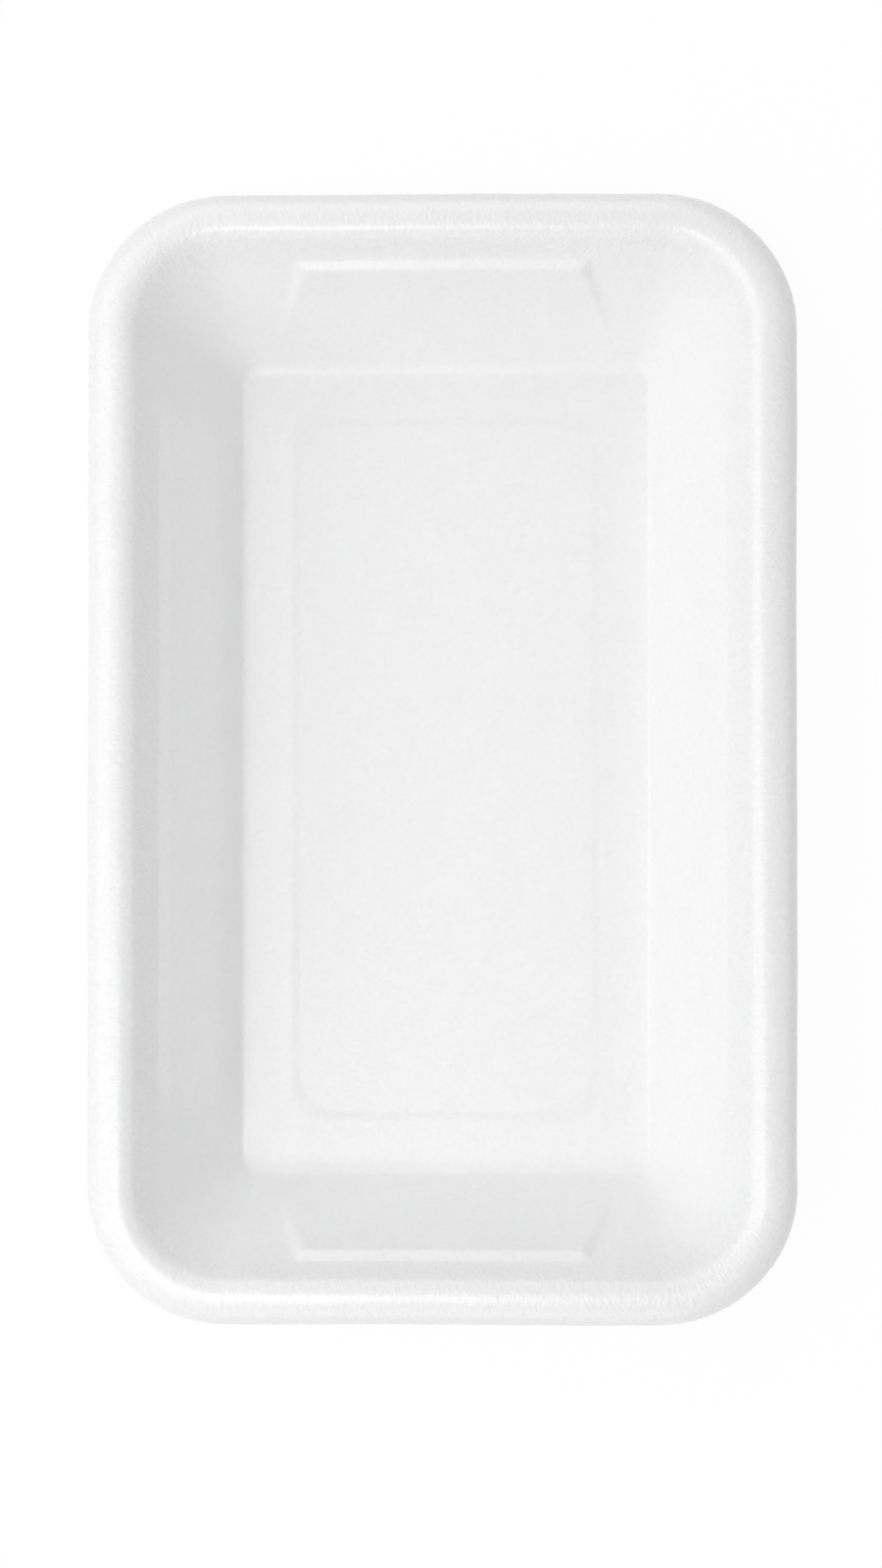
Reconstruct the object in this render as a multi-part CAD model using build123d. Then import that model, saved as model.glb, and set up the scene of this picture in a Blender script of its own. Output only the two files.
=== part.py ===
from build123d import *
from math import cos, radians, sin, tan
import os

# Foam food tray, pressed from one sheet of white foam between two matched moulds.
# X runs across the tray, Y along it and Z up; the tray stands on the plane Z = 0.

# Overall size, measured over the trimmed edge of the lip
tray_length = 220.0
tray_width = 138.0
tray_height = 30.0
corner_radius = 27.0

# The foam sheet
sheet_thickness = 3.0

# Rim: the lip rolls out and down, a narrow crown tops it, a shoulder rolls into the basin.
# The shoulder is round above and a tight bend below.
lip_inner_radius = 3.5
lip_angle = 63.0
crown_width = 0.6
shoulder_radius = 4.0

# Basin: flat walls that lean outward, joined by tapered corners
wall_angle = 56.0
floor_corner_radius = 5.0
floor_fillet_radius = 4.0

# Stacking shelves on the end walls: a panel stands in at its shelf and dies out near the floor
end_shelf_drop = 6.3
end_shelf_slope = 24.0
end_shelf_width = 2.0
end_shelf_length = 54.0
end_panel_foot_height = 5.0
end_panel_base_length = 70.0
shelf_edge_radius = 0.8

# Shallow panels along the side walls: they stand in all the way down and end in a steep foot
side_shelf_drop = 7.6
side_shelf_slope = 44.0
side_shelf_width = 0.5
side_shelf_length = 131.0
side_panel_foot_height = 4.0
side_panel_foot_width = 0.5
side_panel_base_length = 142.0

# Raised middle of the floor, which leaves a foot ring underneath
pad_margin = 7.2
pad_rise = 0.3
pad_ramp = 2.6
pad_corner_radius = 5.0

# Spare length that lets one cutting shape run past another
overrun = 4.0

# Rim sizes that follow: the lip's outer arc is its inner one plus the sheet
lip_outer_radius = lip_inner_radius + sheet_thickness
lip_reach = lip_outer_radius * sin(radians(lip_angle))
lip_end_height = tray_height - lip_outer_radius * (1 - cos(radians(lip_angle)))
half_angle_tangent = tan(radians(wall_angle) / 2)
rim_width = lip_reach + crown_width + shoulder_radius * half_angle_tangent

# Basin sizes, taken where the wall lines meet the plane of the rim and of the floor
basin_depth = tray_height - sheet_thickness
wall_run = basin_depth / tan(radians(wall_angle))
mouth_width = tray_width - 2 * rim_width
mouth_length = tray_length - 2 * rim_width
mouth_corner_radius = corner_radius - rim_width
floor_width = mouth_width - 2 * wall_run
floor_length = mouth_length - 2 * wall_run


def rounded_plate(width, length, radius, height):
    """Rounded rectangle that lies flat at a height above the ground."""
    return Pos(0, 0, height) * RectangleRounded(width, length, radius)


def leaning_block(floor, mouth):
    """Solid between two rounded rectangles, one over the other: flat walls and tapered corners."""
    faces = [floor.face(), mouth.face()]
    for low, high in zip(floor.wire().edges(), mouth.wire().edges()):
        if low.geom_type == GeomType.LINE:
            faces.append(Face(Wire.make_polygon([low @ 0, low @ 1, high @ 1, high @ 0])))
        else:
            faces.append(Face.make_surface_from_curves(low, high))
    return Part(Solid(Shell(faces)).wrapped)


def wall_panel(half_span, foot_height, base_length, drop, slope, shelf_width, shelf_length, foot_width=0):
    """Panel on a wall at +X: it stands in by the shelf width at its top and the foot width below."""
    lean = tan(radians(wall_angle))
    foot = Vector(half_span + foot_height / lean - foot_width, 0, sheet_thickness + foot_height)
    rise = tray_height - drop - foot.Z
    up_the_face = Vector(rise / lean - shelf_width + foot_width, 0, rise)
    across = Axis.Y.direction
    into_wall = across.cross(up_the_face)
    face_angle = up_the_face.get_angle(Axis.X.direction)
    side_draft = 90 - face_angle + slope

    top = up_the_face.length
    half_top = shelf_length / 2
    half_base = base_length / 2
    corners = [(-half_base, 0), (half_base, 0), (half_top, top), (-half_top, top)]
    face = Plane(foot, across, into_wall) * Polygon(*corners, align=None)
    panel = extrude(face, sheet_thickness, taper=-side_draft)
    front = panel.faces().sort_by_distance(foot + up_the_face / 2)[0]
    return fillet(front.edges(), shelf_edge_radius)


def panel_on_end_wall():
    """Panel with the end wall's sizes, on a wall at +X."""
    return wall_panel(
        floor_length / 2,
        end_panel_foot_height,
        end_panel_base_length,
        end_shelf_drop,
        end_shelf_slope,
        end_shelf_width,
        end_shelf_length,
    )


def panel_on_side_wall():
    """Panel with the side wall's sizes, on a wall at +X."""
    return wall_panel(
        floor_width / 2,
        side_panel_foot_height,
        side_panel_base_length,
        side_shelf_drop,
        side_shelf_slope,
        side_shelf_width,
        side_shelf_length,
        side_panel_foot_width,
    )


def floor_pad():
    """Shallow raised middle of the floor, with a short ramp all round."""
    base_width = floor_width - 2 * pad_margin
    base_length = floor_length - 2 * pad_margin
    top_width = base_width - 2 * pad_ramp
    top_length = base_length - 2 * pad_ramp
    base = rounded_plate(base_width, base_length, pad_corner_radius + pad_ramp, sheet_thickness)
    top = rounded_plate(top_width, top_length, pad_corner_radius, sheet_thickness + pad_rise)
    return leaning_block(base, top)


def basin(depth):
    """Hollow of the tray, bounded by the surface that lies at a depth inside the sheet."""
    grow = depth * half_angle_tangent
    floor = rounded_plate(
        floor_width + 2 * grow,
        floor_length + 2 * grow,
        floor_corner_radius + grow,
        sheet_thickness - depth,
    )
    mouth = rounded_plate(
        mouth_width + 2 * grow,
        mouth_length + 2 * grow,
        mouth_corner_radius + grow,
        tray_height - depth,
    )
    hollow = leaning_block(floor, mouth)
    foot_edges = hollow.faces().sort_by(Axis.Z)[0].edges()
    hollow = fillet(foot_edges, floor_fillet_radius + depth)

    # The panels sink into the sheet along the wall's normal, the pad straight down
    sideways = depth * sin(radians(wall_angle))
    downward = depth * cos(radians(wall_angle))
    side = panel_on_side_wall()
    end = panel_on_end_wall()
    for panel, turn in ((side, 0), (end, 90), (side, 180), (end, 270)):
        hollow -= Rot(0, 0, turn) * Pos(sideways, 0, -downward) * panel
    return hollow - Pos(0, 0, -depth) * floor_pad()


def mould(depth):
    """Block under the surface at a depth inside the sheet, with the basin sunk into its rounded top."""
    outset = lip_outer_radius - lip_reach - depth
    outline = rounded_plate(
        tray_width + 2 * outset,
        tray_length + 2 * outset,
        corner_radius + outset,
        -overrun - depth,
    )
    block = extrude(outline, tray_height + overrun) - basin(depth)
    crown = block.faces().sort_by(Axis.Z)[-1]
    return fillet(crown.outer_wire().edges(), lip_outer_radius - depth)


def trimming():
    """Frame that cuts the lip off level, all the way round."""
    outset = lip_outer_radius - lip_reach + overrun
    inset = lip_reach
    outside = RectangleRounded(tray_width + 2 * outset, tray_length + 2 * outset, corner_radius + outset)
    inside = RectangleRounded(tray_width - 2 * inset, tray_length - 2 * inset, corner_radius - inset)
    bottom = -2 * overrun - sheet_thickness
    return extrude(Pos(0, 0, bottom) * (outside - inside), lip_end_height - bottom)


# The sheet is what lies between the two moulds, trimmed along the lip
upper_mould = mould(0)
mouth_edges = upper_mould.faces().sort_by(Axis.Z)[-1].inner_wires()[0].edges()
upper_mould = fillet(mouth_edges, shoulder_radius)
foam_tray = upper_mould - mould(sheet_thickness) - trimming()

os.makedirs("parts", exist_ok=True)
export_step(foam_tray, "parts/foam_tray.step")
print("foam_tray", foam_tray.bounding_box().size, "volume", round(foam_tray.volume))
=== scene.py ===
# %% [markdown]
# # A white foam food tray
# A tray like this is pressed from one warm sheet of foamed plastic between two matched moulds,
# and a knife then trims it along the lip. So it is a single sheet, about 3 mm thick everywhere:
# floor, leaning walls, a shoulder, a crown and a lip that rolls down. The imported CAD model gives
# the frame and the overall box. The lesson dresses it with a finer sheet and a foam finish.

import math

import bmesh
import bpy
import numpy as np
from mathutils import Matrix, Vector, noise


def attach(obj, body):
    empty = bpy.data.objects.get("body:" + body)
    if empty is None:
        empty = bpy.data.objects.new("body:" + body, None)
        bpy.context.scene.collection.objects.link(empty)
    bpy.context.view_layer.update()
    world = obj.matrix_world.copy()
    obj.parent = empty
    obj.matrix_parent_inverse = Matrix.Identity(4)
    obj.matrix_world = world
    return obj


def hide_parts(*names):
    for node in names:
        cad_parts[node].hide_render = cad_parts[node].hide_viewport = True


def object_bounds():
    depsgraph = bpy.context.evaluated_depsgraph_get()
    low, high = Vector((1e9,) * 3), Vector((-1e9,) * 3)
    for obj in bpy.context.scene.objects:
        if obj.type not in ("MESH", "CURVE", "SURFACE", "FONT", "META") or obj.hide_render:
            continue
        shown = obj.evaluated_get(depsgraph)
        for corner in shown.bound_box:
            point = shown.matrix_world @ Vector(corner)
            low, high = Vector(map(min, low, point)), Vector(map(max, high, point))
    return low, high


MILLIMETRE = 0.001

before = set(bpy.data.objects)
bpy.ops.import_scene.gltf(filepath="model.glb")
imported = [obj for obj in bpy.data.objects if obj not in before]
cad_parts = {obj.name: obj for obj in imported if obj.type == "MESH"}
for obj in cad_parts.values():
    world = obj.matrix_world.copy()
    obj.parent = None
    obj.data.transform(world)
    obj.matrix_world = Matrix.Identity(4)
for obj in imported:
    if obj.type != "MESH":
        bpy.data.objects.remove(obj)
cad_low, cad_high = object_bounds()
cad_box = [round(side / MILLIMETRE, 2) for side in cad_high - cad_low]
print("CAD box in mm:", cad_box)

# %% [markdown]
# ## The sheet's section
# Cut the tray through a wall and the cut shows everything that matters: a flat floor, a small
# fillet, a straight leaning wall, a shoulder, a short crown and the arc of the lip. It could be
# drawn as a curve and bevelled round an outline, but then the corners would all get one radius.
# Here the section is a list of stations, and each station will become one ring of the mesh, so
# the corner radius can change on the way up. Lengths are in millimetres until the very end.

# %% Sizes of the tray
# The overall box is the frame's. Lip and fillets are a little closer to the real tray.
TRAY_WIDTH, TRAY_LENGTH, TRAY_HEIGHT = cad_box
SHEET = 3.0
WALL_LEAN = 56.0
LIP_RADIUS, LIP_TURN = 6.1, 72.0
CROWN = 0.6
SHOULDER_RADIUS = 4.0
END_FILLET, SIDE_FILLET = 4.0, 1.0
FLOOR_CORNER = 3.6
OUTER_CORNER = 27.0

lean_sin = math.sin(math.radians(WALL_LEAN))
lean_cos = math.cos(math.radians(WALL_LEAN))
bend = math.tan(math.radians(WALL_LEAN) / 2)
wall_run = (TRAY_HEIGHT - SHEET) * lean_cos / lean_sin
wall_length = (TRAY_HEIGHT - SHEET) / lean_sin
crown_start = wall_run + SHOULDER_RADIUS * bend
lip_middle = crown_start + CROWN, TRAY_HEIGHT - LIP_RADIUS
lip_reach = LIP_RADIUS * math.sin(math.radians(LIP_TURN))
trim_height = lip_middle[1] + LIP_RADIUS * math.cos(math.radians(LIP_TURN))
floor_half_width = TRAY_WIDTH / 2 - lip_middle[0] - lip_reach
floor_half_length = TRAY_LENGTH / 2 - lip_middle[0] - lip_reach
print("floor in mm:", round(2 * floor_half_width, 2), "by", round(2 * floor_half_length, 2))


# %% Stations of the section
# `out` counts from the line where floor and wall would meet without a fillet. The stations
# crowd where the raised floor begins and, up the wall, where the shelves will be. The two
# corner radii are those of the grid's edge and of the line where the fillet starts.
FLOOR_STATIONS = (-12.0, -10.4, -9.6, -9.2, -8.8, -8.4, -8.0, -7.6, -7.2, -6.8, -6.0, -4.2)
SHELF_STATIONS = np.arange(20.1, 26.5, 0.3)
FILLET_STEPS, SHOULDER_STEPS, LIP_STEPS = 7, 8, 11
LOW_WALL_POINTS, HIGH_WALL_POINTS = 18, 4
MIDDLE_CORNER, FILLET_CORNER = 8.0, 1.8


def arc(middle, radius, start, end, steps):
    """Points of an arc in the section; angles in degrees, from straight up towards the lip."""
    turns = np.radians(np.linspace(start, end, steps + 1))
    return [(middle[0] + radius * math.sin(t), middle[1] + radius * math.cos(t)) for t in turns]


def section(depth, fillet_radius):
    """Stations (out, height) from the floor to the trimmed edge, at a depth below the upper face."""
    flat = [(out, SHEET - depth) for out in FLOOR_STATIONS]
    fillet_middle = -fillet_radius * bend, SHEET + fillet_radius
    fillet = arc(fillet_middle, fillet_radius + depth, 180, 180 - WALL_LEAN, FILLET_STEPS)
    wall_top = wall_length - SHOULDER_RADIUS * bend
    up = [*np.linspace(fillet_radius * bend, SHELF_STATIONS[0], LOW_WALL_POINTS)[1:-1]]
    up += [*SHELF_STATIONS, *np.linspace(SHELF_STATIONS[-1], wall_top, HIGH_WALL_POINTS)[1:-1]]
    wall = [(v * lean_cos + depth * lean_sin, SHEET + v * lean_sin - depth * lean_cos) for v in up]
    shoulder_middle = crown_start, TRAY_HEIGHT - SHOULDER_RADIUS
    shoulder = arc(shoulder_middle, SHOULDER_RADIUS - depth, -WALL_LEAN, 0, SHOULDER_STEPS)
    last = math.degrees(math.acos((trim_height - lip_middle[1]) / (LIP_RADIUS - depth)))
    lip = arc(lip_middle, LIP_RADIUS - depth, 0, last, LIP_STEPS)
    return flat + fillet + wall + shoulder + lip


def corner_radius(out, depth):
    """Radius of a ring's corners: small at the floor, wide at the rim."""
    grow = depth * bend
    taper = (OUTER_CORNER - lip_reach - CROWN - SHOULDER_RADIUS * bend - FLOOR_CORNER) / wall_run
    fillet = (END_FILLET + SIDE_FILLET) / 2
    fillet_end = -fillet * bend + (fillet + depth) * lean_sin
    wall_end = crown_start - (SHOULDER_RADIUS - depth) * lean_sin
    lip_end = lip_middle[0] + lip_reach
    outs = [FLOOR_STATIONS[0], -fillet * bend, fillet_end, wall_end, crown_start, lip_end]
    wall_radii = [FLOOR_CORNER + grow + taper * (end - grow) for end in (fillet_end, wall_end)]
    rim_radii = [OUTER_CORNER - (lip_end - crown_start), OUTER_CORNER]
    return np.interp(out, outs, [MIDDLE_CORNER, FILLET_CORNER, *wall_radii, *rim_radii])


end_stations = section(0, END_FILLET)
trimmed_at = [round(part, 2) for part in end_stations[-1]]
print("stations:", len(end_stations), "lip trimmed at", trimmed_at)

# %% [markdown]
# ## Pressing the sheet
# A grid makes the middle of the floor. Its edge is then extruded outwards again and again, and
# every new ring is laid on a rounded rectangle at the next station of the section. That keeps
# the mesh in clean rows and columns, which the shelves and the rim's grain need later. Columns
# stand closer together near the ends of the wall panels, where the slanted sides will be.
# The same is done a sheet's thickness lower, and a bridge along the lip closes the sheet.

# %% From a square's edge to a rounded outline
# Numbers of columns from the middle of a side, and the shares of its straight part they reach.
ACROSS = (0, 12, 36), (0.0, 0.64, 1.0)
ALONG = (0, 30, 52, 54), (0.0, 0.77, 0.96, 1.0)
CORNER_COLUMNS = 9
COLUMNS_ACROSS = ACROSS[0][-1] + CORNER_COLUMNS
COLUMNS_ALONG = ALONG[0][-1] + CORNER_COLUMNS


def along_side(share, columns, steps, straight, radius):
    """Place along a side, and distance back from it, for a share of the side's columns."""
    column = abs(share) * columns
    turn = max(0.0, column - steps[0][-1]) / CORNER_COLUMNS * math.pi / 4
    run = np.interp(column, *steps) * straight + radius * math.sin(turn)
    return math.copysign(run, share), radius * (1 - math.cos(turn))


def on_outline(s, t, out, radius):
    """Point of the outline `out` beyond the floor line, in the direction (s, t) of the square."""
    half_width, half_length = floor_half_width + out, floor_half_length + out
    if abs(t) >= abs(s):
        x, back = along_side(s / abs(t), COLUMNS_ACROSS, ACROSS, half_width - radius, radius)
        return x, math.copysign(half_length - back, t)
    y, back = along_side(t / abs(s), COLUMNS_ALONG, ALONG, half_length - radius, radius)
    return math.copysign(half_width - back, s), y


def side_share(s, t):
    """1 along the long walls, 0 along the end walls, and between them round the corners."""
    if abs(t) >= abs(s):
        turned = max(0.0, abs(s / t) * COLUMNS_ACROSS - ACROSS[0][-1])
        return 0.5 * turned / CORNER_COLUMNS
    turned = max(0.0, abs(t / s) * COLUMNS_ALONG - ALONG[0][-1])
    return 1.0 - 0.5 * turned / CORNER_COLUMNS


print("columns round the tray:", 4 * (COLUMNS_ACROSS + COLUMNS_ALONG))


# %% One face of the sheet, then the other
def press_face(tray, depth):
    """Adds one face of the sheet; returns its vertices and the edges along the lip."""
    place = tray.verts.layers.float_vector["place"]
    rim_run = tray.verts.layers.float_vector["rim_run"]
    end_section = np.array(section(depth, END_FILLET))
    side_section = np.array(section(depth, SIDE_FILLET))
    upper = np.array(section(0, END_FILLET))
    lengths = np.cumsum(np.hypot(*np.diff(upper, axis=0, prepend=upper[:1]).T))
    crown_radius = corner_radius(crown_start, 0)

    grid = bmesh.ops.create_grid(
        tray, x_segments=2 * COLUMNS_ACROSS, y_segments=2 * COLUMNS_ALONG, size=1.0
    )["verts"]
    in_grid = set(grid)
    edges = [edge for edge in tray.edges if edge.is_boundary and edge.verts[0] in in_grid]
    made = list(grid)
    for vert in grid:
        vert[place] = vert.co
        share = max(abs(vert.co.x), abs(vert.co.y))
        if share > 0:
            out = FLOOR_STATIONS[0]
            start = on_outline(vert.co.x, vert.co.y, out, corner_radius(out, depth))
            vert.co = start[0] * share, start[1] * share, 0.0
        vert.co.z = SHEET - depth

    for end_station, side_station, length in zip(end_section[1:], side_section[1:], lengths[1:]):
        grown = bmesh.ops.extrude_edge_only(tray, edges=edges)["geom"]
        edges = [piece for piece in grown if isinstance(piece, bmesh.types.BMEdge)]
        ring = [piece for piece in grown if isinstance(piece, bmesh.types.BMVert)]
        for vert in ring:
            s, t, _ = vert[place]
            out, height = end_station + (side_station - end_station) * side_share(s, t)
            vert.co = *on_outline(s, t, out, corner_radius(out, depth)), height
            vert[rim_run] = *on_outline(s, t, crown_start, crown_radius), length
        made += ring
    return made, edges


tray = bmesh.new()
tray.verts.layers.float_vector.new("place")
tray.verts.layers.float_vector.new("rim_run")
upper_verts, upper_edge = press_face(tray, 0.0)
upper_faces = len(tray.faces)
lower_verts, lower_edge = press_face(tray, SHEET)
bmesh.ops.reverse_faces(tray, faces=list(tray.faces)[upper_faces:])
print("pressed sheet:", len(tray.verts), "vertices,", len(tray.faces), "faces")

# %% [markdown]
# ## Shelves, swelling sides and the raised floor
# Each end wall carries a panel that stands in a little and ends in a shelf, on which the next
# tray rests when trays are stacked. The side walls swell: steep at the foot, flatter in the
# middle, and steep again above a narrow ledge. The floor has a raised middle. All are soft
# forms, so they are pressed into the finished sheet as a mould would do it. A panel is the
# lowest of three planes (its face, its shelf and its slanted sides), with a soft minimum that
# rounds the edges between them, and a swell is the sum of its leans on the way up. Booleans
# could cut the panels too, but would leave hard edges and ragged faces. The lower face gets
# the same forms with softer panels.

# %% The form of the end panels
# The steepness is how fast the slanted sides fall back to the wall.
SIDE_STEEPNESS = 0.65
SHELF_DROP, SHELF_SLOPE, SHELF_WIDTH = 6.1, 20.0, 1.4
PANEL_FOOT = 5.0
HALF_SHELF, HALF_PANEL_FOOT = 27.2, 34.8


def soft_min(a, b, soft):
    """The lower of two heights, rounded where they cross."""
    return np.minimum(a, b) - np.maximum(soft - np.abs(a - b), 0.0) ** 2 / (4 * soft)


def end_panel_rise(u, v, soft):
    """How far the panel stands in from an end wall, u along the wall and v up it."""
    proud = SHELF_WIDTH * lean_sin
    top = (TRAY_HEIGHT - SHELF_DROP - SHEET) / lean_sin - SHELF_WIDTH * lean_cos
    foot = PANEL_FOOT / lean_sin
    face = proud * (v - foot) / (top - foot)
    shelf = proud - (v - top) * math.tan(math.radians(WALL_LEAN - SHELF_SLOPE))
    flare = HALF_PANEL_FOOT - HALF_SHELF
    slant = math.hypot(top - foot, flare)
    inside = ((HALF_PANEL_FOOT - np.abs(u)) * (top - foot) - (v - foot) * flare) / slant
    rise = soft_min(soft_min(face, shelf, soft), face + SIDE_STEEPNESS * inside, soft)
    return -soft_min(-rise, 0.0 * rise, soft)


# %% The swell of the side walls
# Places up the wall, and how many degrees steeper than the wall's own lean it is there. Above
# the place of return the swell is led back, so that it ends in the wall's own line.
SWELL_PLACES = (1.0, 1.6, 5.0, 8.5, 10.0, 21.0, 21.6, 23.4, 24.0, 29.5, 30.5)
SWELL_LEANS = (0.0, 15.0, 13.0, -3.0, -6.0, -6.0, -12.0, -12.0, 5.0, 5.0, 0.0)
SWELL_HALF_TOP, SWELL_HALF_FOOT = 66.5, 71.0
SWELL_END_TOP, SWELL_END_FOOT = 7.0, 18.0
SWELL_STEP = 0.1
SWELL_RETURN = 12.0


def smooth_step(x):
    """Eases from 0 to 1 while x goes from 0 to 1."""
    x = np.clip(x, 0.0, 1.0)
    return x * x * (3 - 2 * x)


def side_swell_rise(u, v):
    """How far a side wall stands in, u along the wall and v up it."""
    steps = np.arange(SWELL_PLACES[0], SWELL_PLACES[-1], SWELL_STEP)
    slopes = np.tan(np.radians(np.interp(steps, SWELL_PLACES, SWELL_LEANS)))
    swell = np.cumsum(slopes) * SWELL_STEP
    swell -= swell[-1] * smooth_step((steps - SWELL_RETURN) / (steps[-1] - SWELL_RETURN))
    half = np.interp(v, (steps[0], steps[-1]), (SWELL_HALF_FOOT, SWELL_HALF_TOP))
    end = np.interp(v, (steps[0], steps[-1]), (SWELL_END_FOOT, SWELL_END_TOP))
    return np.interp(v, steps, swell, 0.0, 0.0) * smooth_step((half - np.abs(u)) / end + 0.5)


# %% The form of the raised floor
PAD_MARGIN, PAD_RISE, PAD_SIDE_RAMP, PAD_END_RAMP = 7.2, 0.09, 2.6, 14.0


def pad_rise(x, y):
    """Height of the raised middle of the floor."""
    across = smooth_step((floor_half_width - PAD_MARGIN - np.abs(x)) / PAD_SIDE_RAMP)
    along = smooth_step((floor_half_length - PAD_MARGIN - np.abs(y)) / PAD_END_RAMP)
    return PAD_RISE * across * along


# %% Press the panels, the swells and the pad into both faces
UPPER_SOFTNESS, LOWER_SOFTNESS = 0.3, 0.9


def press_forms(verts, soft):
    """Moves the vertices of one face by all the forms; returns the largest move."""
    points = np.array([vert.co for vert in verts])
    x, y, z = points.T
    side_up = (np.abs(x) - floor_half_width) * lean_cos + (z - SHEET) * lean_sin
    end_up = (np.abs(y) - floor_half_length) * lean_cos + (z - SHEET) * lean_sin
    side_rise = side_swell_rise(y, side_up)
    end_rise = end_panel_rise(x, end_up, soft)
    moves = np.stack([
        -np.sign(x) * lean_sin * side_rise,
        -np.sign(y) * lean_sin * end_rise,
        lean_cos * (side_rise + end_rise) + pad_rise(x, y),
    ], axis=1)
    for vert, point in zip(verts, points + moves):
        vert.co = point
    return np.abs(moves).max()


print("upper face pressed by up to", round(press_forms(upper_verts, UPPER_SOFTNESS), 2), "mm")
print("lower face pressed by up to", round(press_forms(lower_verts, LOWER_SOFTNESS), 2), "mm")

# %% [markdown]
# ## The trimmed edge and a little unevenness
# The knife leaves a narrow band between the two faces. A bridge closes it and a small bevel
# softens its two edges. Foam never comes out of the mould perfectly true: walls and rim wander
# by a tenth of a millimetre or two, which is what makes real highlights waver along the rim.
# A modifier with a noise texture could do that, but moving the vertices here lets the effect
# fade towards the floor, on which the tray stands and which stays flat.

# %% Close the sheet along the lip
EDGE_BEVEL = 0.35
closing = bmesh.ops.bridge_loops(tray, edges=upper_edge + lower_edge)["faces"]
bmesh.ops.bevel(
    tray,
    geom=upper_edge + lower_edge,
    offset=EDGE_BEVEL,
    offset_type="OFFSET",
    segments=2,
    profile=0.5,
    affect="EDGES",
    material=-1,
)
open_edges = sum(not edge.is_manifold for edge in tray.edges)
print("faces along the trimmed edge:", len(closing), "open edges:", open_edges)

# %% Let the walls and the rim wander a little
# Without a seed the noise starts from the clock, and each run would make another tray.
WANDER_SEED = 1
WANDER = 0.16
WANDER_SPAN = 34.0
WANDER_FADE = 14.0
RIPPLE_SHARE = 0.4
RIPPLE_OFFSET = Vector((7.0, 3.0, 1.0))
noise.seed_set(WANDER_SEED)
largest = 0.0
for vert in tray.verts:
    share = min(1.0, max(0.0, vert.co.z - SHEET) / WANDER_FADE)
    drift = noise.noise_vector(vert.co / WANDER_SPAN)
    ripple_place = vert.co / (RIPPLE_SHARE * WANDER_SPAN) + RIPPLE_OFFSET
    drift += RIPPLE_SHARE * noise.noise_vector(ripple_place)
    vert.co += WANDER * share * drift
    largest = max(largest, WANDER * share * drift.length)
print("walls and rim wander by up to", round(largest, 2), "mm")

# %% Turn the pressed sheet into the tray
tray.verts.layers.float_vector.remove(tray.verts.layers.float_vector["place"])
bmesh.ops.scale(tray, vec=(MILLIMETRE,) * 3, verts=tray.verts)
tray.normal_update()
tray_mesh = bpy.data.meshes.new("foam_tray_sheet")
tray.to_mesh(tray_mesh)
tray.free()
for polygon in tray_mesh.polygons:
    polygon.use_smooth = True
tray_piece = bpy.data.objects.new("foam_tray_sheet", tray_mesh)
bpy.context.scene.collection.objects.link(tray_piece)
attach(tray_piece, "root")
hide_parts("foam_tray")
triangles = sum(len(polygon.vertices) - 2 for polygon in tray_mesh.polygons)
print("tray sheet:", triangles, "triangles")

# %% [markdown]
# ## The foam finish
# White foam is matt with a faint sheen where the hot mould has closed its skin. Close up it is
# never smooth: small cells show through the skin, the surface is slightly pebbled, and around
# the rim, where the sheet was stretched and squeezed, the skin is finely crinkled.
# Cells and pebbles read Object coordinates. The crinkle has to follow the rim round the corners,
# so it reads an attribute that holds the place along the rim and the distance across it.
# Painted images could show all this too, but patterns made of nodes stay sharp from nearby.


# %% Shader sums as Python sums
class Socket:
    """A socket of a material; sums of sockets and numbers add Math nodes to its tree."""

    def __init__(self, tree, socket=None):
        self.tree = tree
        self.socket = socket

    def node(self, kind, settings=None, sockets=None, output=0):
        """Any node: its settings are set first, then the values or links of its sockets."""
        made = self.tree.nodes.new(kind)
        for name, value in (settings or {}).items():
            setattr(made, name, value)
        for name, value in (sockets or {}).items():
            if isinstance(value, Socket):
                self.tree.links.new(value.socket, made.inputs[name])
            else:
                made.inputs[name].default_value = value
        return Socket(self.tree, made.outputs[output] if made.outputs else None)

    def math(self, operation, first, second):
        """A Math node with two inputs."""
        return self.node("ShaderNodeMath", {"operation": operation}, {0: first, 1: second})

    def __add__(self, other):
        return self.math("ADD", self, other)

    def __radd__(self, other):
        return self.math("ADD", other, self)

    def __sub__(self, other):
        return self.math("SUBTRACT", self, other)

    def __rsub__(self, other):
        return self.math("SUBTRACT", other, self)

    def __mul__(self, other):
        return self.math("MULTIPLY", self, other)

    def __rmul__(self, other):
        return self.math("MULTIPLY", other, self)


def new_material(name):
    """An empty material and a first socket to build its nodes from."""
    material = bpy.data.materials.new(name)
    material.use_nodes = True
    material.node_tree.nodes.clear()
    return material, Socket(material.node_tree)


# %% Where the rim begins
# The third part of the attribute is the distance in mm from the floor's middle part, up the
# sheet and over the crown: the mask grows over the upper wall and is full on the rim.
RIM_START, RIM_FULL = 30.0, 44.0
FLAT_SHARE = 0.15
foam, build = new_material("white_foam")
place = build.node("ShaderNodeTexCoord", output="Object")
run = build.node("ShaderNodeAttribute", {"attribute_name": "rim_run"}, output="Vector")
distance = build.node("ShaderNodeSeparateXYZ", sockets={"Vector": run}, output="Z")
on_rim = build.node(
    "ShaderNodeMapRange",
    {"interpolation_type": "SMOOTHSTEP"},
    {
        "Value": distance,
        "From Min": RIM_START,
        "From Max": RIM_FULL,
        "To Min": FLAT_SHARE,
        "To Max": 1.0,
    },
)
print("the crinkle grows from", RIM_START, "to", RIM_FULL, "mm up the sheet")

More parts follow.
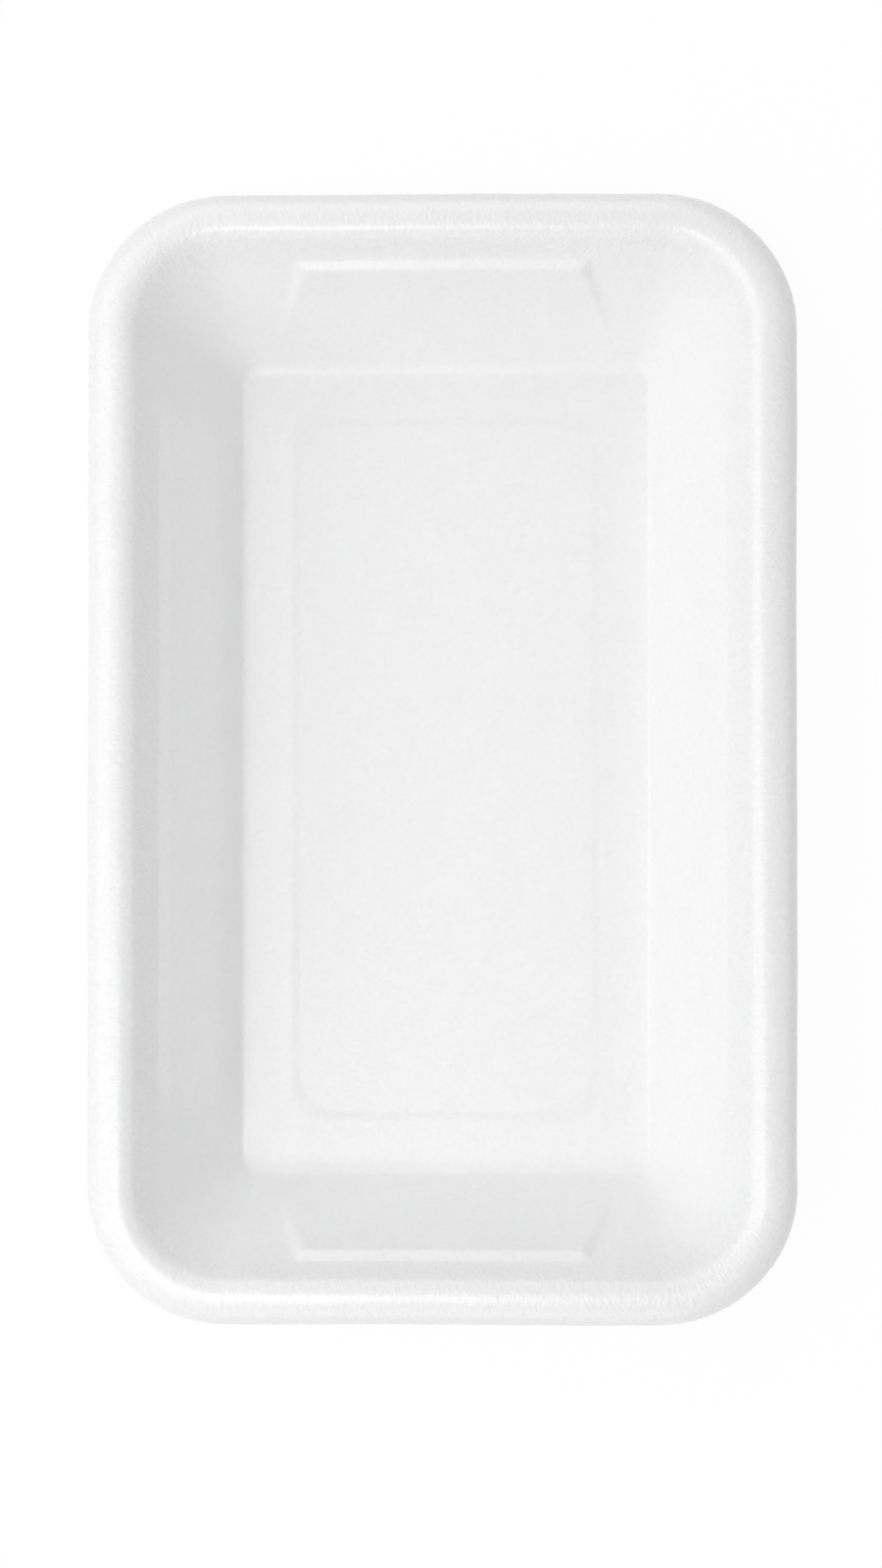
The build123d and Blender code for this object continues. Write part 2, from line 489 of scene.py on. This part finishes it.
# %% The foam's grain
# Cells and pebbles are counted to the metre, crinkles to the millimetre of the attribute.
CELL_SCALE, PEBBLE_SCALE, CRINKLE_SCALE = 1000.0, 420.0, 1.4
CRINKLE_STRETCH = (1.0, 1.0, 0.6)
CELL_RELIEF, PEBBLE_RELIEF, CRINKLE_RELIEF = 0.10, 0.30, 0.75
RELIEF_DEPTH = 0.0003
GRAIN_DETAIL, FINER_NOISE = 2.0, 0.6
cells = build.node(
    "ShaderNodeTexVoronoi",
    {"feature": "F1"},
    {"Vector": place, "Scale": CELL_SCALE},
    output="Distance",
)


def rough_noise(build, where, scale, detail):
    """A noise pattern with some finer noise in it."""
    sockets = {"Vector": where, "Scale": scale, "Detail": detail, "Roughness": FINER_NOISE}
    return build.node("ShaderNodeTexNoise", sockets=sockets)


pebbles = rough_noise(build, place, PEBBLE_SCALE, GRAIN_DETAIL)
stretched = build.node(
    "ShaderNodeVectorMath", {"operation": "MULTIPLY"}, {0: run, 1: CRINKLE_STRETCH}
)
crinkle_on_rim = rough_noise(build, stretched, CRINKLE_SCALE, GRAIN_DETAIL) * on_rim
grain = CELL_RELIEF * cells + PEBBLE_RELIEF * pebbles + CRINKLE_RELIEF * crinkle_on_rim
relief = build.node(
    "ShaderNodeBump", sockets={"Strength": 1.0, "Distance": RELIEF_DEPTH, "Height": grain}
)
print("grain nodes:", len(foam.node_tree.nodes))

# %% The foam's colour and sheen
# Some light enters the foam and leaves it a little farther on; that depth is in metres.
PATCH_SCALE, PATCH_DETAIL = 140.0, 4.0
# The rim's shade is painted shade. It darkens the colour over the whole rim, where the foam itself
# is no darker, so that the rim looks less brightly lit; patches, cells and crinkle are the foam's
# own tone.
PATCH_TINT, CELL_TINT, CRINKLE_TINT, PAINTED_RIM_SHADE = 0.35, 0.25, 0.55, 0.4
DULL_WHITE, CLEAN_WHITE = (0.852, 0.852, 0.856, 1.0), (0.960, 0.960, 0.962, 1.0)
FLAT_ROUGHNESS, PEBBLE_ROUGHNESS, RIM_SMOOTHNESS = 0.42, 0.05, 0.11
RIM_SKIN, SKIN_ROUGHNESS = 0.7, 0.3
REFRACTION = 1.5
LIGHT_WITHIN, LIGHT_DEPTH = 0.3, 0.0015
patches = rough_noise(build, place, PATCH_SCALE, PATCH_DETAIL)
tone_and_rim_shade = PATCH_TINT * patches + CELL_TINT * cells + CRINKLE_TINT * crinkle_on_rim - PAINTED_RIM_SHADE * on_rim
white = build.node(
    "ShaderNodeMix",
    {"data_type": "RGBA"},
    {"Factor": tone_and_rim_shade, 6: DULL_WHITE, 7: CLEAN_WHITE},
    output=2,
)
surface = build.node(
    "ShaderNodeBsdfPrincipled",
    sockets={
        "Base Color": white,
        "Roughness": FLAT_ROUGHNESS + PEBBLE_ROUGHNESS * pebbles - RIM_SMOOTHNESS * on_rim,
        "Normal": relief,
        "IOR": REFRACTION,
        "Coat Weight": RIM_SKIN * on_rim,
        "Coat Roughness": SKIN_ROUGHNESS,
        "Subsurface Weight": LIGHT_WITHIN,
        "Subsurface Radius": (1.0, 1.0, 1.0),
        "Subsurface Scale": LIGHT_DEPTH,
    },
)
build.node("ShaderNodeOutputMaterial", sockets={"Surface": surface})
tray_mesh.materials.append(foam)
print("foam nodes:", len(foam.node_tree.nodes))

# %% [markdown]
# ## Floor, backdrop and light
# The tray lies on a white table top. It could be lit until it is white, but then the tray would
# be lit far too much as well. So for the camera the table is mostly its own white and only a
# small share of it is lit: it stays clean and still keeps the tray's soft shadow. Light that
# bounces sees an ordinary pale table, and the room works in the same way.

# %% A white table top
TABLE_HALF = 3.0
TABLE_HEIGHT = -0.0003
table_form = bmesh.new()
bmesh.ops.create_grid(table_form, x_segments=1, y_segments=1, size=TABLE_HALF)
bmesh.ops.translate(table_form, vec=(0.0, 0.0, TABLE_HEIGHT), verts=table_form.verts)
table_mesh = bpy.data.meshes.new("table_top")
table_form.to_mesh(table_mesh)
table_form.free()
table_top = bpy.data.objects.new("table_top", table_mesh)
bpy.context.scene.collection.objects.link(table_top)
print("table top:", 2 * TABLE_HALF, "m square")

# %% Its two whites
WHITE = (1.0, 1.0, 1.0, 1.0)
SHADOW_SHARE = 0.05
BOUNCE = 0.85


def seen_directly(build):
    """1 for rays that show the background as it is, 0 for light that bounces."""
    rays = build.node("ShaderNodeLightPath").socket.node.outputs
    kinds = "Is Camera Ray", "Is Glossy Ray", "Is Transmission Ray"
    camera_ray, glossy_ray, clear_ray = [Socket(build.tree, rays[kind]) for kind in kinds]
    return build.node("ShaderNodeClamp", sockets={"Value": camera_ray + glossy_ray + clear_ray})


table_white, build = new_material("white_table")
lit = build.node("ShaderNodeBsdfDiffuse", sockets={"Color": (SHADOW_SHARE,) * 3 + (1.0,)})
own = build.node("ShaderNodeEmission", sockets={"Color": WHITE, "Strength": 1.0 - SHADOW_SHARE})
shown = build.node("ShaderNodeAddShader", sockets={0: lit, 1: own})
bounced = build.node("ShaderNodeBsdfDiffuse", sockets={"Color": (BOUNCE,) * 3 + (1.0,)})
both = build.node(
    "ShaderNodeMixShader", sockets={0: seen_directly(build), 1: bounced, 2: shown}
)
build.node("ShaderNodeOutputMaterial", sockets={"Surface": both})
table_mesh.materials.append(table_white)
print("share of the table's white that takes shadow:", SHADOW_SHARE)

# %% A bright, even room
ROOM_LIGHT = 0.41
room = bpy.data.worlds.new("white_room")
room.use_nodes = True
room.node_tree.nodes.clear()
build = Socket(room.node_tree)
room_seen = build.node("ShaderNodeBackground", sockets={"Color": WHITE, "Strength": 1.0})
room_light = build.node("ShaderNodeBackground", sockets={"Color": WHITE, "Strength": ROOM_LIGHT})
room_both = build.node(
    "ShaderNodeMixShader", sockets={0: seen_directly(build), 1: room_light, 2: room_seen}
)
build.node("ShaderNodeOutputWorld", sockets={"Surface": room_both})
bpy.context.scene.world = room
print("light of the room:", ROOM_LIGHT)

# %% [markdown]
# ## Soft boxes
# The room alone would show no form. A row of long boxes on one side, one above the other, does
# what a large window does: the wall under it stays in shade and the far wall is bright. One
# small box high up draws the fine highlight along the rim, and weaker ones fill the other sides.

# %% Soft boxes
# Of each box: direction round the tray and height in degrees, length, width, power in watts
BOX_DISTANCE = 0.9
SOFT_BOXES = {
    "left_high_box": (182.0, 62.0, 1.6, 0.25, 1.4),
    "left_box": (182.0, 50.0, 1.6, 0.25, 1.45),
    "left_low_box": (182.0, 30.0, 1.6, 0.25, 1.65),
    "small_box": (245.0, 69.0, 0.2, 0.08, 1.3),
    "right_box": (0.0, 30.0, 0.5, 0.5, 0.6),
    "front_box": (270.0, 22.0, 0.5, 0.5, 0.8),
    "back_box": (92.0, 30.0, 0.5, 0.5, 1.0),
}
for name, (bearing, height, length, width, power) in SOFT_BOXES.items():
    bearing, height = math.radians(bearing), math.radians(height)
    flat = math.cos(height)
    towards = Vector((flat * math.cos(bearing), flat * math.sin(bearing), math.sin(height)))
    lamp = bpy.data.lights.new(name, "AREA")
    lamp.shape = "RECTANGLE"
    lamp.size, lamp.size_y = length, width
    lamp.energy = power
    box = bpy.data.objects.new(name, lamp)
    box.location = BOX_DISTANCE * towards
    box.rotation_euler = (-towards).to_track_quat("-Z", "Y").to_euler()
    bpy.context.scene.collection.objects.link(box)
print("soft boxes:", ", ".join(SOFT_BOXES))

# %% [markdown]
# ## The camera
# The tray is seen from straight above, about 36 cm over the table. The camera stands slightly
# nearer to one end and one side, so opposite walls look unlike in width, and a small shift of
# the picture brings the tray back into its place. Turning the camera would do that as well, but
# it would also make the tray's straight sides lean together. A longer lens from farther away
# would show less of the walls.

# %% A camera straight above
# Sensor and lens in mm, shift in shares of the picture's longer side, place in metres. The tilt
# in degrees is small: the camera is off the vertical by about half a degree each way.
SENSOR, LENS = 36.0, 39.411
PICTURE_SHIFT = (-0.0286, 0.0793)
CAMERA_PLACE = (0.01143, -0.0318, 0.3592)
CAMERA_TILT = (0.45, 0.5, 0.0)
camera_data = bpy.data.cameras.new("camera_above")
camera_data.sensor_width = SENSOR
camera_data.lens = LENS
camera_data.shift_x, camera_data.shift_y = PICTURE_SHIFT
camera = bpy.data.objects.new("camera_above", camera_data)
camera.location = CAMERA_PLACE
camera.rotation_euler = [math.radians(turn) for turn in CAMERA_TILT]
bpy.context.scene.collection.objects.link(camera)
bpy.context.scene.camera = camera
bpy.context.scene.view_settings.view_transform = "Standard"
print("camera height in mm:", round(camera.location.z / MILLIMETRE, 1))
